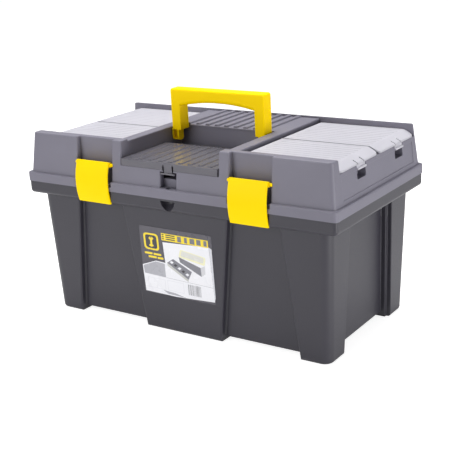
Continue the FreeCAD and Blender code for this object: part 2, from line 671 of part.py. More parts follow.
def latch_recess_edge(m, d):
    if m.y > LATCH_RECESS_Y - 2 or abs(d.z) < 0.8:
        return False
    half = LATCH_WIDTH / 2 + LATCH_RECESS_GAP
    return near(abs(m.x), LATCH_X - half) or near(abs(m.x), LATCH_X + half)


def latch_recess_brow(m, d):
    return near(m.y, LATCH_RECESS_Y) and near(m.z, LID_TOP_Z)


def window_edge(m, d):
    return near(abs(m.x), WINDOW_HALF) and m.y < WINDOW_BACK_Y - 8 and m.z > WINDOW_Z[0]


def deck_nose_edge(m, d):
    return near(m.y, RECESS_BACK_Y - DECK_NOSE) and abs(d.x) > 0.9 and m.z > DECK_Z - 1


LID_EDGES = (
    front_rim_edge, strip_edge, recess_front_edge, latch_recess_edge, latch_recess_brow,
    window_edge,
)


def deck_rib(x):
    """One rib of the deck behind the recess, with sloping flanks."""
    foot = DECK_RIB_WIDTH / 2
    crown = foot - 1.6
    y0 = RECESS_BACK_Y - DECK_NOSE + 2.0
    outline = [
        (x - foot, y0, DECK_Z - 0.5),
        (x + foot, y0, DECK_Z - 0.5),
        (x + crown, y0, LID_TOP_Z - 0.4),
        (x - crown, y0, LID_TOP_Z - 0.4),
    ]
    return prism(outline, (0, SEAT_REAR_Y - y0 + 1, 0))


# ---- handle -------------------------------------------------------------------------------
def make_handle():
    inner = HANDLE_HALF - HANDLE_LEG
    front = HANDLE_FRONT_Y
    outline = box(-HANDLE_HALF, HANDLE_HALF, front, front + HANDLE_DEPTH, HANDLE_LEG_Z,
                  HANDLE_TOP_Z)
    outline = fillet(outline, HANDLE_CORNER_R, lambda m, d: abs(d.y) > 0.9 and
                     m.z > HANDLE_TOP_Z - 1)
    crown = HANDLE_TOP_Z - HANDLE_GRIP
    springing = crown - HANDLE_ARCH
    low = HANDLE_LEG_Z - 1
    arch = Part.Face(Part.Wire([
        Part.LineSegment(V(-inner, front, low), V(inner, front, low)).toShape(),
        Part.LineSegment(V(inner, front, low), V(inner, front, springing)).toShape(),
        Part.Arc(V(inner, front, springing), V(0, front, crown),
                 V(-inner, front, springing)).toShape(),
        Part.LineSegment(V(-inner, front, springing), V(-inner, front, low)).toShape(),
    ])).extrude(V(0, HANDLE_DEPTH, 0))
    bow = outline.cut(arch)
    bow = fillet(bow, HANDLE_GRIP_R, lambda m, d: m.z > springing + 1 and m.z < crown + 1 and
                 abs(d.y) < 0.1 and abs(m.x) < 1)
    bow = fillet(bow, HANDLE_TOP_R, lambda m, d: near(m.z, HANDLE_TOP_Z) and abs(d.x) > 0.9)
    pieces = [bow]
    for _, side in SIDES:
        tab_out = side * (HANDLE_HALF - 0.5)
        tab_in = tab_out - side * HANDLE_TAB
        tab = box(tab_in, tab_out, HANDLE_PIVOT_Y - HANDLE_TAB_REACH,
                  HANDLE_PIVOT_Y + HANDLE_TAB_REACH, HANDLE_TAB_FOOT_Z, HANDLE_LEG_Z + 1)
        tab = fillet(tab, HANDLE_TAB_R, lambda m, d: near(m.z, HANDLE_TAB_FOOT_Z) and
                     abs(d.x) > 0.9)
        channel = box(tab_in + side * HANDLE_TAB_WALL, tab_out - side * HANDLE_TAB_WALL, -FAR,
                      HANDLE_PIVOT_Y, HANDLE_TAB_FOOT_Z + HANDLE_TAB_WALL, HANDLE_LEG_Z)
        channel = fillet(channel, 3.0, lambda m, d: abs(d.y) > 0.9 and m.z < HANDLE_LEG_Z - 1)
        stud = rod(HANDLE_PIVOT_R, (tab_out - side * HANDLE_TAB_WALL, HANDLE_PIVOT_Y,
                                    HANDLE_PIVOT_Z),
                   (side * (RECESS_HALF + 2.0), HANDLE_PIVOT_Y, HANDLE_PIVOT_Z))
        pieces.append(tab.cut(channel).fuse(stud))
    return fuse(pieces)


# ---- latches ------------------------------------------------------------------------------
def make_latch(side):
    def face(out, z):
        return (-HALF_Y - out, z)

    x0 = side * LATCH_X - LATCH_WIDTH / 2
    outer = [face(LATCH_TOP_OUT, LATCH_TOP_Z), face(LATCH_BULGE_OUT, LATCH_BULGE_Z),
             face(LATCH_FOOT_OUT, LATCH_FOOT_Z)]
    inner = [face(LATCH_FOOT_OUT - LATCH_THICK, LATCH_FOOT_Z + 0.4),
             face(LATCH_BULGE_OUT - LATCH_THICK, LATCH_BULGE_Z),
             face(LATCH_TOP_OUT - LATCH_THICK, LATCH_TOP_Z)]
    outer = [V(x0, y, z) for y, z in outer]
    inner = [V(x0, y, z) for y, z in inner]
    plate = Part.Face(Part.Wire([
        Part.Arc(*outer).toShape(),
        Part.LineSegment(outer[2], inner[0]).toShape(),
        Part.Arc(*inner).toShape(),
        Part.LineSegment(inner[2], outer[0]).toShape(),
    ])).extrude(V(LATCH_WIDTH, 0, 0))
    bulge = -HALF_Y - LATCH_BULGE_OUT
    plate = fillet(plate, LATCH_EDGE_R, lambda m, d: abs(d.x) < 0.1 and near(m.y, bulge))
    x1 = x0 + LATCH_WIDTH
    barrel = rod(LATCH_BARREL_R, (x0, LATCH_PIVOT_Y, LATCH_PIVOT_Z),
                 (x1, LATCH_PIVOT_Y, LATCH_PIVOT_Z))
    reach = LATCH_RECESS_GAP + 2.0
    stud = rod(LATCH_PIVOT_R, (x0 - reach, LATCH_PIVOT_Y, LATCH_PIVOT_Z),
               (x1 + reach, LATCH_PIVOT_Y, LATCH_PIVOT_Z))
    return fuse([plate, barrel, stud])


# ---- covers -------------------------------------------------------------------------------
def make_centre_cover():
    half = RECESS_HALF - 1.5
    low = SMOKED_TOP_Z - COVER_THICK
    front = LID_FRONT_Y - 4.5
    plate = box(-half, half, front, SMOKED_BACK_Y, low, SMOKED_TOP_Z)
    lip = box(-half, half, front, front + THIN_WALL, RECESS_FLOOR_Z + SEAT_GAP, SMOKED_TOP_Z)
    pieces = [plate, lip]
    for _, side in SIDES:
        pieces.append(box(side * half, side * (half - 2.2), front, SMOKED_BACK_Y,
                          SMOKED_PIVOT_Z - 2.5, SMOKED_TOP_Z))
        pieces.append(rod(SMOKED_PIVOT_R, (side * (half - 2.2), SMOKED_PIVOT_Y, SMOKED_PIVOT_Z),
                          (side * (RECESS_HALF + 2.0), SMOKED_PIVOT_Y, SMOKED_PIVOT_Z)))
    for i in range(DECK_RIBS):
        x = (i - (DECK_RIBS - 1) / 2) * DECK_RIB_PITCH
        pieces.append(prism([
            (x - SMOKED_RIB_FOOT, front + 6, SMOKED_TOP_Z - 0.5),
            (x + SMOKED_RIB_FOOT, front + 6, SMOKED_TOP_Z - 0.5),
            (x + SMOKED_RIB_CROWN, front + 6, SMOKED_TOP_Z + SMOKED_RIB_HEIGHT),
            (x - SMOKED_RIB_CROWN, front + 6, SMOKED_TOP_Z + SMOKED_RIB_HEIGHT),
        ], (0, SMOKED_BACK_Y - front - 12, 0)))
    foot = WINDOW_Z[1] - 4
    tongue = box(-CLIP_WIDTH / 2, CLIP_WIDTH / 2, front, front + 2.2, foot, SMOKED_TOP_Z)
    lip_width, lip_height, lip_reach = CLIP_LIP
    lip = box(-lip_width / 2, lip_width / 2, front - lip_reach, front + 2.2, foot,
              foot + lip_height)
    cover = fuse(pieces + [tongue, lip])
    slots = []
    for side in (-1, 1):
        x = side * (CLIP_WIDTH + CLIP_SLOT) / 2
        slots.append(box(x - CLIP_SLOT / 2, x + CLIP_SLOT / 2, front - 1,
                         front + THIN_WALL + 2, foot + lip_height, low - 1))
    return cover.cut(slots).removeSplitter()


def make_bin_cover(side, span):
    y0, y1, hole_y = span
    t = COVER_THICK
    x_in = side * (COVER_PIVOT_X - COVER_TAIL)
    low = COVER_TOP_Z - t
    skin_x = COVER_SKIN_X
    drop = COVER_TOP_Z - 8.0
    outline = [
        (x_in, y0, low),
        (x_in, y0, COVER_TOP_Z),
        (side * COVER_BEND_X, y0, COVER_TOP_Z),
        (side * skin_x, y0, drop),
        (side * skin_x, y0, COVER_LIP_Z),
        (side * (skin_x - t), y0, COVER_LIP_Z),
        (side * (skin_x - t), y0, drop - 1.2),
        (side * (COVER_BEND_X - 1.0), y0, low),
    ]
    plate = prism(outline, (0, y1 - y0, 0))
    plate = fillet(plate, COVER_BEND_R, lambda m, d: near(m.z, COVER_TOP_Z) and
                   near(abs(m.x), COVER_BEND_X) and abs(d.y) > 0.9)
    plate = fillet(plate, COVER_EDGE_R, lambda m, d: near(m.z, drop) and
                   near(abs(m.x), skin_x) and abs(d.y) > 0.9)
    corners = box(side * 100, side * skin_x, y0, y1, 0, FAR)
    corners = fillet(corners, COVER_CORNER_R, lambda m, d: near(abs(m.x), skin_x) and
                     abs(d.z) > 0.9)
    plate = plate.common(corners)
    slots = []
    for edge in (-1, 1):
        y = hole_y + edge * BIN_CLIP_TAB / 2
        slots.append(box(side * (COVER_BEND_X + 8), side * (skin_x + 1), y - BIN_CLIP_SLOT / 2,
                         y + BIN_CLIP_SLOT / 2, COVER_LIP_Z - 1, COVER_TOP_Z))
    pieces = [plate.cut(slots)]
    count = int((y1 - y0 - 8.0) // COVER_RIB_PITCH)
    for i in range(count + 1):
        y = (y0 + y1) / 2 + (i - count / 2) * COVER_RIB_PITCH
        pieces.append(box(side * (COVER_PIVOT_X + 6), side * (COVER_BEND_X - 3),
                          y - COVER_RIB_WIDTH / 2, y + COVER_RIB_WIDTH / 2, low,
                          COVER_TOP_Z + COVER_RIB_HEIGHT))
    barrel = rod(COVER_PIVOT_R, (side * COVER_PIVOT_X, y0 - 1.5, COVER_PIVOT_Z),
                 (side * COVER_PIVOT_X, y1 + 1.5, COVER_PIVOT_Z))
    pieces.append(barrel)
    foot = COVER_LIP_Z - CLIP_DROP
    half = BIN_CLIP_WIDTH / 2
    pieces.append(box(side * (skin_x - CLIP_THICK), side * skin_x, hole_y - half, hole_y + half,
                      foot, COVER_LIP_Z))
    tab = (BIN_CLIP_TAB - BIN_CLIP_SLOT) / 2
    pieces.append(box(side * (skin_x - CLIP_THICK), side * skin_x, hole_y - tab, hole_y + tab,
                      foot, COVER_LIP_Z + 1))
    lip = box(side * (skin_x - 1), side * (skin_x + BIN_CLIP_LIP), hole_y - half, hole_y + half,
              foot, foot + BIN_CLIP_LIP)
    pieces.append(fillet(lip, 1.0, lambda m, d: near(abs(m.x), skin_x + BIN_CLIP_LIP)))
    return fuse(pieces)


def cover_spans():
    """Front-to-back extent of the front and rear covers, and where their clips are."""
    gap = MOVING_GAP
    middle = 1.7 + gap
    front = (SEAT_FRONT_Y + gap, BIN_SPLIT_Y - middle, FINGER_HOLE_Y[0])
    rear = (BIN_SPLIT_Y + middle, SEAT_REAR_Y - gap, FINGER_HOLE_Y[1])
    return (("front", front), ("rear", rear))


# ---- loose dividers -----------------------------------------------------------------------
def make_bin_dividers(side, span):
    y0, y1 = span
    plates = []
    for x in BIN_DIVIDER_X:
        plates.append(box(side * x, side * (x + DIVIDER_THICK), y0 + SEAT_GAP, y1 - SEAT_GAP,
                          BIN_FLOOR_Z + SEAT_GAP, BIN_DIVIDER_TOP_Z))
    return Part.makeCompound(plates)


# ---- tray ---------------------------------------------------------------------------------
def make_tray():
    depth = TRAY_RIM_Z - TRAY_FLOOR_Z
    foot_x = TRAY_X - TRAY_TAPER * depth
    foot_y = TRAY_Y - TRAY_TAPER * depth
    body = block(foot_x, foot_y, TRAY_FLOOR_Z, TRAY_RIM_Z, TRAY_CORNER_R, TRAY_TAPER * depth)
    rim_x = COLLAR_X - WALL - TRAY_RIM_GAP
    rim_y = COLLAR_Y - WALL - TRAY_RIM_GAP
    rim = block(rim_x, rim_y, TRAY_RIM_Z - THIN_WALL, TRAY_RIM_Z, RIM_CORNER_R - WALL)
    boss = SCOOP_R + WALL + TRAY_RIM_GAP
    rim = rim.cut(box(-boss, boss, -FAR, -COLLAR_Y + boss, 0, FAR))
    for _, side in SIDES:
        half = LATCH_WIDTH / 2 + LATCH_RECESS_GAP / 2 + WALL + TRAY_RIM_GAP
        back = -COLLAR_Y + LATCH_SEAT_DEPTH + WALL + TRAY_RIM_GAP
        rim = rim.cut(box(side * LATCH_X - half, side * LATCH_X + half, -FAR, back, 0, FAR))
    hollow = block(foot_x - THIN_WALL, foot_y - THIN_WALL, TRAY_FLOOR_Z + THIN_WALL,
                   TRAY_RIM_Z + 1, TRAY_CORNER_R - THIN_WALL, TRAY_TAPER * depth)
    walls = [box(-FAR, FAR, -GRIP_WALL / 2, GRIP_WALL / 2, 0, TRAY_RIM_Z - 4)]
    for _, side in SIDES:
        x = side * TRAY_CROSS_X
        walls.append(box(x - THIN_WALL / 2, x + THIN_WALL / 2, -FAR, FAR, 0, TRAY_RIM_Z - 4))
    shell = body.fuse(rim).cut(hollow.cut(walls))
    grip = box(-GRIP_HALF, GRIP_HALF, -GRIP_WALL, GRIP_WALL, TRAY_RIM_Z - 6, GRIP_TOP_Z)
    grip = fillet(grip, 12.0, lambda m, d: abs(d.y) > 0.9 and m.z > GRIP_TOP_Z - 1)
    grip = fillet(grip, 3.0, lambda m, d: abs(m.y) > GRIP_WALL - 0.1 and m.z > TRAY_RIM_Z)
    slot_half, slot_height = GRIP_SLOT
    slot_top = GRIP_TOP_Z - 9.0
    slot = box(-slot_half, slot_half, -FAR, FAR, slot_top - slot_height, slot_top)
    slot = fillet(slot, 7.0, lambda m, d: abs(d.y) > 0.9)
    return fuse([shell, grip]).cut(slot).removeSplitter()


def make_tray_divider(side):
    """A loose plate that splits one end of the tray's rear row."""
    depth = TRAY_RIM_Z - TRAY_FLOOR_Z
    y1 = TRAY_Y - TRAY_TAPER * depth - THIN_WALL - SEAT_GAP
    x = side * (TRAY_CROSS_X + TRAY_X) / 2
    return box(x, x + side * DIVIDER_THICK, GRIP_WALL / 2 + SEAT_GAP, y1,
               TRAY_FLOOR_Z + THIN_WALL + SEAT_GAP, TRAY_RIM_Z - 8)


# ---- label --------------------------------------------------------------------------------
def make_label():
    """A sticker that lies along the leaning front of the middle pillar."""
    def wall_y(z):
        return -(BODY_Y - BODY_TAPER * (LEDGE_Z - z)) - LABEL_GAP

    z0, z1 = LABEL_Z
    outline = [
        (-LABEL_HALF, wall_y(z0), z0),
        (-LABEL_HALF, wall_y(z1), z1),
        (-LABEL_HALF, wall_y(z1) - LABEL_THICK, z1),
        (-LABEL_HALF, wall_y(z0) - LABEL_THICK, z0),
    ]
    return prism(outline, (2 * LABEL_HALF, 0, 0))


# ---- build --------------------------------------------------------------------------------
os.makedirs("parts", exist_ok=True)
save("tub_shell", make_tub())
save("front_label", make_label())
save("lid_shell", make_lid())
save("handle", make_handle())
save("centre_cover", make_centre_cover())
save("tray_shell", make_tray())
for side_name, side_sign in SIDES:
    save("hinge_pin_" + side_name, make_hinge_pin(side_sign))
    save("latch_" + side_name, make_latch(side_sign))
    save("tray_divider_" + side_name, make_tray_divider(side_sign))
    for row_name, row_span in cover_spans():
        save("bin_cover_" + row_name + "_" + side_name, make_bin_cover(side_sign, row_span))
    for row_name, row_span in bin_spans():
        save("bin_dividers_" + row_name + "_" + side_name, make_bin_dividers(side_sign, row_span))
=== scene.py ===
# %% [markdown]
# # A plastic toolbox with a lift-out tray
#
# This lesson dresses a finished CAD model in Blender. The real box is injection moulded from
# polypropylene, so nearly all of its character is in how a few plastics take the light: a dark
# grained tub, a smoother grey lid, frosted and smoked covers, and bright yellow fittings.
#
# The shapes come from the CAD model and stay as they are. What is made here is the camera, the
# light, the finishes, and the printed sticker on the front.

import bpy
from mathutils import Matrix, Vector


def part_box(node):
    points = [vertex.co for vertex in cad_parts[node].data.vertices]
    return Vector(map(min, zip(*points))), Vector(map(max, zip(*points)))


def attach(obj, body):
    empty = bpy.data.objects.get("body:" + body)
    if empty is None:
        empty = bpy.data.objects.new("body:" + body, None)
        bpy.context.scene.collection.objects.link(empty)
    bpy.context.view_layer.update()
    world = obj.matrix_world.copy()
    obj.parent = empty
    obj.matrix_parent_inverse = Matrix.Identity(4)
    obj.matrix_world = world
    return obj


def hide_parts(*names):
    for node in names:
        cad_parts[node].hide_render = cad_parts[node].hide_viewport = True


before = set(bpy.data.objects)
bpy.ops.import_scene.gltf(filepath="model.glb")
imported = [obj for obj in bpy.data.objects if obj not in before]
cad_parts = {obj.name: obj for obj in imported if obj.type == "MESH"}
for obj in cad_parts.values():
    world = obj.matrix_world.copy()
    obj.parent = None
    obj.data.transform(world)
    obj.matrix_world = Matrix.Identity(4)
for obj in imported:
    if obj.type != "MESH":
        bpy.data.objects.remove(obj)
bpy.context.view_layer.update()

# %% [markdown]
# The camera comes first, because everything later is judged through it. It could be placed by
# eye, but a box with long straight edges shows every degree of error, so its angle round the
# box, its height and its distance are set as numbers. Its three axes are worked out from those
# angles and written into a rotation matrix.

# %% Camera
import math
import bpy
from mathutils import Matrix, Vector

AZIMUTH = math.radians(34.34)
ELEVATION = math.radians(17.48)
ROLL = math.radians(-2.94)
DISTANCE = 1.6559
LENS = 79.42

back = Vector((
    math.sin(AZIMUTH) * math.cos(ELEVATION),
    -math.cos(AZIMUTH) * math.cos(ELEVATION),
    math.sin(ELEVATION),
))
level = Vector((math.cos(AZIMUTH), math.sin(AZIMUTH), 0.0))
upright = back.cross(level)
right = level * math.cos(ROLL) + upright * math.sin(ROLL)
up = upright * math.cos(ROLL) - level * math.sin(ROLL)

camera = bpy.data.objects.new("camera", bpy.data.cameras.new("camera"))
camera.data.lens = LENS
camera.data.clip_end = 20.0
turn = Matrix((right, up, back)).transposed()
place = Vector((0.0, 0.0, 0.15)) + back * DISTANCE + right * 0.00201 - up * 0.00417
camera.matrix_world = Matrix.Translation(place) @ turn.to_4x4()
bpy.context.scene.collection.objects.link(camera)
bpy.context.scene.camera = camera
print("camera at", [round(v, 3) for v in place])

# %% [markdown]
# The box stands in a white studio. A single lamp would throw hard shadows, so the light comes
# from large areas: a bright dome all round, and wide panels that give the flat faces their
# different tones. The floor is one pale plane under the feet. The camera sees it glow as white
# as the studio behind it, but it throws only part of that glow back up onto the box.

# %% Light and floor
scene = bpy.context.scene
scene.view_settings.view_transform = "Standard"
scene.view_settings.look = "None"

DOME = 0.23

world = bpy.data.worlds.new("studio")
world.use_nodes = True
air = world.node_tree
seen = air.nodes.new("ShaderNodeLightPath")
strength = air.nodes.new("ShaderNodeMapRange")
strength.inputs["To Min"].default_value = DOME
strength.inputs["To Max"].default_value = 1.02
air.links.new(seen.outputs["Is Camera Ray"], strength.inputs["Value"])
air.nodes["Background"].inputs["Color"].default_value = (1.0, 1.0, 1.0, 1.0)
air.links.new(strength.outputs["Result"], air.nodes["Background"].inputs["Strength"])
scene.world = world


def add_panel_light(name, place, target, size, watts, colour=(1.0, 1.0, 1.0)):
    """A square panel of light that faces a point."""
    lamp = bpy.data.lights.new(name, "AREA")
    lamp.shape = "SQUARE"
    lamp.size = size
    lamp.energy = watts
    lamp.color = colour
    panel = bpy.data.objects.new(name, lamp)
    aim = Vector(target) - Vector(place)
    panel.rotation_mode = "QUATERNION"
    panel.rotation_quaternion = aim.to_track_quat("-Z", "Y")
    panel.location = place
    scene.collection.objects.link(panel)


middle = (0.0, 0.0, 0.2)
add_panel_light("top_panel", (-0.2, 0.3, 1.9), middle, 1.5, 49.0)
add_panel_light("front_panel", (-0.8, -2.0, 0.9), middle, 1.5, 24.0)
add_panel_light("left_panel", (-2.0, -0.2, 0.8), middle, 1.2, 2.5)
add_panel_light("rear_panel", (1.0, 2.0, 0.9), middle, 1.2, 2.0)
add_panel_light("right_panel", (2.2, -0.3, 0.12), middle, 0.4, 30.0)


def add_floor(half):
    """A square floor, given half its side."""
    mesh = bpy.data.meshes.new("floor")
    corners = [(-half, -half, 0.0), (half, -half, 0.0), (half, half, 0.0), (-half, half, 0.0)]
    mesh.from_pydata(corners, [], [(0, 1, 2, 3)])
    floor = bpy.data.objects.new("floor", mesh)
    scene.collection.objects.link(floor)
    material = bpy.data.materials.new("pale_floor")
    material.use_nodes = True
    tree = material.node_tree
    shader = tree.nodes["Principled BSDF"]
    shader.inputs["Base Color"].default_value = (0.55, 0.55, 0.55, 1.0)
    shader.inputs["Roughness"].default_value = 0.8
    shader.inputs["Specular IOR Level"].default_value = 0.0
    shader.inputs["Emission Color"].default_value = (1.0, 1.0, 1.0, 1.0)
    ray = tree.nodes.new("ShaderNodeLightPath")
    glow = tree.nodes.new("ShaderNodeMapRange")
    glow.inputs["To Min"].default_value = 0.5
    glow.inputs["To Max"].default_value = 0.85
    tree.links.new(ray.outputs["Is Camera Ray"], glow.inputs["Value"])
    tree.links.new(glow.outputs["Result"], shader.inputs["Emission Strength"])
    mesh.materials.append(material)


add_floor(2.4)

# %% [markdown]
# Every moulded face on the box gets the same kinds of small marks: a fine grain from the steel
# mould, slow changes of tone where the plastic cooled, a lighter line along the edges that is
# partly rub wear and partly a painted highlight, a little dust on top, and painted shade in the
# corners. Each of these is a shader node group with named sockets. It is built once, and each
# plastic uses it with its own numbers.

# %% A helper for node groups
def start_group(name, inputs, outputs):
    """A shader node group with its sockets: each input is a name, a kind and a first value."""
    tree = bpy.data.node_groups.new(name, "ShaderNodeTree")
    for socket, kind, value in inputs:
        made = tree.interface.new_socket(socket, in_out="INPUT", socket_type=kind)
        made.default_value = value
    for socket, kind in outputs:
        tree.interface.new_socket(socket, in_out="OUTPUT", socket_type=kind)
    tree.nodes.new("NodeGroupInput")
    tree.nodes.new("NodeGroupOutput")
    return tree


def add_node(tree, kind, settings=None, values=None):
    """A node with its settings, and with links or numbers on its inputs."""
    node = tree.nodes.new(kind)
    for key, value in (settings or {}).items():
        setattr(node, key, value)
    for key, value in (values or {}).items():
        socket = node.inputs[key]
        if isinstance(value, bpy.types.NodeSocket):
            tree.links.new(value, socket)
        else:
            socket.default_value = value
    return node


def group_ends(tree):
    """The nodes that hold a group's inputs and its outputs."""
    given = next(n for n in tree.nodes if n.type == "GROUP_INPUT")
    result = next(n for n in tree.nodes if n.type == "GROUP_OUTPUT")
    return given, result


FLOAT = "NodeSocketFloat"


# %% Grain left by the mould
def make_mould_grain():
    tree = start_group(
        "mould_grain",
        [("Grain Size", FLOAT, 0.0006), ("Tone Size", FLOAT, 0.12)],
        [("Height", FLOAT), ("Tone", FLOAT), ("Fine", FLOAT)],
    )
    given, result = group_ends(tree)
    where = add_node(tree, "ShaderNodeTexCoord").outputs["Object"]
    fine_scale = add_node(tree, "ShaderNodeMath", {"operation": "DIVIDE"},
                          {0: 1.0, 1: given.outputs["Grain Size"]}).outputs[0]
    slow_scale = add_node(tree, "ShaderNodeMath", {"operation": "DIVIDE"},
                          {0: 1.0, 1: given.outputs["Tone Size"]}).outputs[0]
    pits = add_node(tree, "ShaderNodeTexVoronoi", {"feature": "SMOOTH_F1"},
                    {"Vector": where, "Scale": fine_scale, "Smoothness": 0.6})
    fine = add_node(tree, "ShaderNodeTexNoise", {},
                    {"Vector": where, "Scale": fine_scale, "Detail": 2.0})
    slow = add_node(tree, "ShaderNodeTexNoise", {},
                    {"Vector": where, "Scale": slow_scale, "Detail": 3.0, "Roughness": 0.55})
    height = add_node(tree, "ShaderNodeMath", {"operation": "MULTIPLY_ADD"},
                      {0: pits.outputs["Distance"], 1: 0.6, 2: fine.outputs["Fac"]})
    tree.links.new(height.outputs[0], result.inputs["Height"])
    tree.links.new(slow.outputs["Fac"], result.inputs["Tone"])
    tree.links.new(fine.outputs["Fac"], result.inputs["Fine"])
    return tree


mould_grain = make_mould_grain()
print("node group:", mould_grain.name)


# %% Wear and painted highlight along the edges
def make_edge_wear_and_highlight():
    tree = start_group(
        "edge_wear_and_highlight",
        [("Width", FLOAT, 0.0012), ("Breakup Size", FLOAT, 0.02)],
        [("Mask", FLOAT)],
    )
    given, result = group_ends(tree)
    # The mask lightens every edge alike: partly rub wear, partly a painted highlight where a rounded
    # edge would catch the light.
    softened = add_node(tree, "ShaderNodeBevel", {"samples": 4}, {"Radius": given.outputs["Width"]})
    flat = add_node(tree, "ShaderNodeNewGeometry")
    facing = add_node(tree, "ShaderNodeVectorMath", {"operation": "DOT_PRODUCT"},
                      {0: softened.outputs["Normal"], 1: flat.outputs["Normal"]})
    edge = add_node(tree, "ShaderNodeMapRange", {},
                    {"Value": facing.outputs["Value"], "From Min": 0.99, "From Max": 0.80,
                     "To Min": 0.0, "To Max": 1.0})
    where = add_node(tree, "ShaderNodeTexCoord").outputs["Object"]
    scale = add_node(tree, "ShaderNodeMath", {"operation": "DIVIDE"},
                     {0: 1.0, 1: given.outputs["Breakup Size"]}).outputs[0]
    patches = add_node(tree, "ShaderNodeTexNoise", {}, {"Vector": where, "Scale": scale, "Detail": 4.0})
    uneven = add_node(tree, "ShaderNodeMapRange", {},
                      {"Value": patches.outputs["Fac"], "From Min": 0.35, "From Max": 0.65,
                       "To Min": 0.45, "To Max": 1.0})
    mask = add_node(tree, "ShaderNodeMath", {"operation": "MULTIPLY", "use_clamp": True},
                    {0: edge.outputs["Result"], 1: uneven.outputs["Result"]})
    tree.links.new(mask.outputs[0], result.inputs["Mask"])
    return tree


edge_wear_and_highlight = make_edge_wear_and_highlight()
print("node group:", edge_wear_and_highlight.name)


# %% Dust on the upper faces
def make_dust():
    tree = start_group(
        "settled_dust",
        [("Patch Size", FLOAT, 0.05), ("Amount", FLOAT, 0.3)],
        [("Mask", FLOAT)],
    )
    given, result = group_ends(tree)
    flat = add_node(tree, "ShaderNodeNewGeometry")
    axes = add_node(tree, "ShaderNodeSeparateXYZ", {}, {"Vector": flat.outputs["Normal"]})
    level = add_node(tree, "ShaderNodeMapRange", {},
                     {"Value": axes.outputs["Z"], "From Min": 0.75, "From Max": 1.0})
    where = add_node(tree, "ShaderNodeTexCoord").outputs["Object"]
    scale = add_node(tree, "ShaderNodeMath", {"operation": "DIVIDE"},
                     {0: 1.0, 1: given.outputs["Patch Size"]}).outputs[0]
    patches = add_node(tree, "ShaderNodeTexNoise", {}, {"Vector": where, "Scale": scale, "Detail": 6.0})
    spread = add_node(tree, "ShaderNodeMapRange", {},
                      {"Value": patches.outputs["Fac"], "From Min": 0.45, "From Max": 0.75})
    here = add_node(tree, "ShaderNodeMath", {"operation": "MULTIPLY"},
                    {0: level.outputs["Result"], 1: spread.outputs["Result"]})
    mask = add_node(tree, "ShaderNodeMath", {"operation": "MULTIPLY", "use_clamp": True},
                    {0: here.outputs[0], 1: given.outputs["Amount"]})
    tree.links.new(mask.outputs[0], result.inputs["Mask"])
    return tree


settled_dust = make_dust()
print("node group:", settled_dust.name)


# %% Painted shade in the corners
def make_painted_corner_shade():
    tree = start_group(
        "painted_corner_shade",
        [("Reach", FLOAT, 0.012), ("Breakup Size", FLOAT, 0.02)],
        [("Mask", FLOAT)],
    )
    given, result = group_ends(tree)
    # Painted shade: the mask is high where ambient occlusion finds other surfaces close by, in corners,
    # creases and recesses.
    open_sky = add_node(tree, "ShaderNodeAmbientOcclusion", {"samples": 6},
                        {"Distance": given.outputs["Reach"]})
    hidden = add_node(tree, "ShaderNodeMapRange", {},
                      {"Value": open_sky.outputs["AO"], "From Min": 0.75, "From Max": 0.15})
    where = add_node(tree, "ShaderNodeTexCoord").outputs["Object"]
    scale = add_node(tree, "ShaderNodeMath", {"operation": "DIVIDE"},
                     {0: 1.0, 1: given.outputs["Breakup Size"]}).outputs[0]
    patches = add_node(tree, "ShaderNodeTexNoise", {}, {"Vector": where, "Scale": scale, "Detail": 3.0})
    uneven = add_node(tree, "ShaderNodeMapRange", {},
                      {"Value": patches.outputs["Fac"], "From Min": 0.3, "From Max": 0.6,
                       "To Min": 0.7, "To Max": 1.0})
    mask = add_node(tree, "ShaderNodeMath", {"operation": "MULTIPLY", "use_clamp": True},
                    {0: hidden.outputs["Result"], 1: uneven.outputs["Result"]})
    tree.links.new(mask.outputs[0], result.inputs["Mask"])
    return tree


painted_corner_shade = make_painted_corner_shade()
print("node group:", painted_corner_shade.name)


# %% [markdown]
# One recipe makes every opaque plastic here, because they differ only in colour, grain and
# gloss. The four groups feed a Principled shader: tone, edge wear with its painted highlight,
# dust and painted corner shade change its colour, and the grain changes its roughness and bends
# its surface through a Bump node.

# %% The recipe for moulded plastic
DUST_GREY = (0.5, 0.49, 0.53, 1.0)


def use_group(tree, group, values):
    return add_node(tree, "ShaderNodeGroup", {"node_tree": group}, values)


def mix_colour(tree, share, first, second):
    node = add_node(tree, "ShaderNodeMix", {"data_type": "RGBA"})
    for socket, value in (("Factor_Float", share), ("A_Color", first), ("B_Color", second)):
        target = next(s for s in node.inputs if s.identifier == socket)
        if isinstance(value, bpy.types.NodeSocket):
            tree.links.new(value, target)
        else:
            target.default_value = value
    return next(s for s in node.outputs if s.identifier == "Result_Color")


